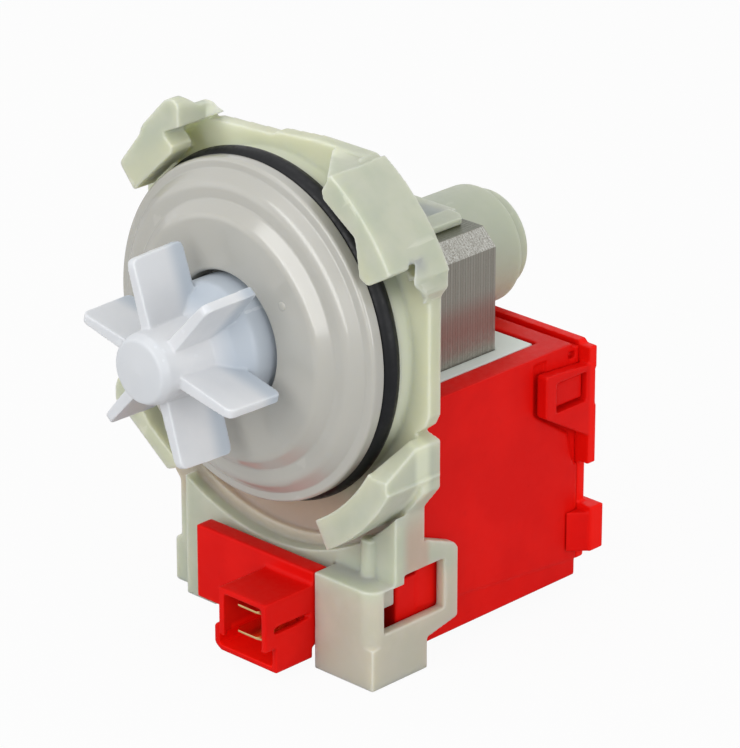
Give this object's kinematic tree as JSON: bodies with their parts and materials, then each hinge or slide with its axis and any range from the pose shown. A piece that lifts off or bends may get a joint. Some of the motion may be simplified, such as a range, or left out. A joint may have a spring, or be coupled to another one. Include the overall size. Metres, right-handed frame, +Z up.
{
  "type": "washer drain pump",
  "caption": "Drain pump with a bayonet flange, sealed disc, free bladed impeller, canned magnet rotor and a boxed coil with its own plug socket.",
  "frame": {"origin": "On the shaft's axis, at the front of the disc's rim, where the pump enters the sump's opening.", "axes": "The shaft runs along Y with the impeller towards -Y and the motor towards +Y. Z is up, away from the coil and the feet. X completes a right-handed frame, so the plug socket is at +X."},
  "size_m": [0.0708, 0.0885, 0.0974],
  "materials": {
    "natural_plastic": "slightly translucent natural moulding",
    "pearl_plastic": "satin, slightly pearly",
    "seal_rubber": "soft sheen",
    "white_plastic": "satin white moulding",
    "dog_plastic": "dark moulded plastic",
    "shaft_steel": "ground",
    "ferrite": "sintered ferrite",
    "washer_plastic": "smooth",
    "sintered_bush": "fine porous",
    "lamination_steel": "stamped sheets with fine edge lines",
    "copper_wire": "enamelled wire",
    "red_plastic": "satin red moulding",
    "tab_brass": "stamped"
  },
  "bodies": {
    "pump_body": {"mounting_flange": "natural_plastic", "rotor_can": "natural_plastic", "front_cover": "pearl_plastic", "sealing_ring": "seal_rubber", "front_bearing": "sintered_bush", "rear_bearing": "sintered_bush", "front_bearing_mount": "seal_rubber", "rear_bearing_mount": "seal_rubber", "shaft_seal": "seal_rubber", "pole_leg_left": "lamination_steel", "pole_leg_right": "lamination_steel", "core_yoke": "lamination_steel", "bobbin_left": "white_plastic", "bobbin_right": "white_plastic", "winding_left": "copper_wire", "winding_right": "copper_wire", "coil_housing": "red_plastic", "rear_cover": "red_plastic", "terminal_upper": "tab_brass", "terminal_lower": "tab_brass", "thermal_protector": "washer_plastic", "coil_leads": "copper_wire"},
    "rotor": {"rotor_shaft": "shaft_steel", "rotor_magnet": "ferrite", "magnet_sleeve": "dog_plastic", "thrust_washers": "washer_plastic", "drive_dog": "dog_plastic", "dog_buffer": "seal_rubber"},
    "impeller": {"impeller": "white_plastic", "dog_retainer": "white_plastic"}
  },
  "joints": [
    {"name": "rotor_spin", "type": "hinge", "parent": "pump_body", "child": "rotor", "pos_m": [0, 0, 0], "axis": [0, 1, 0], "continuous": true},
    {"name": "impeller_free_play", "type": "hinge", "parent": "rotor", "child": "impeller", "pos_m": [0, 0, 0], "axis": [0, 1, 0], "range_deg": [-110, 110]}
  ]
}
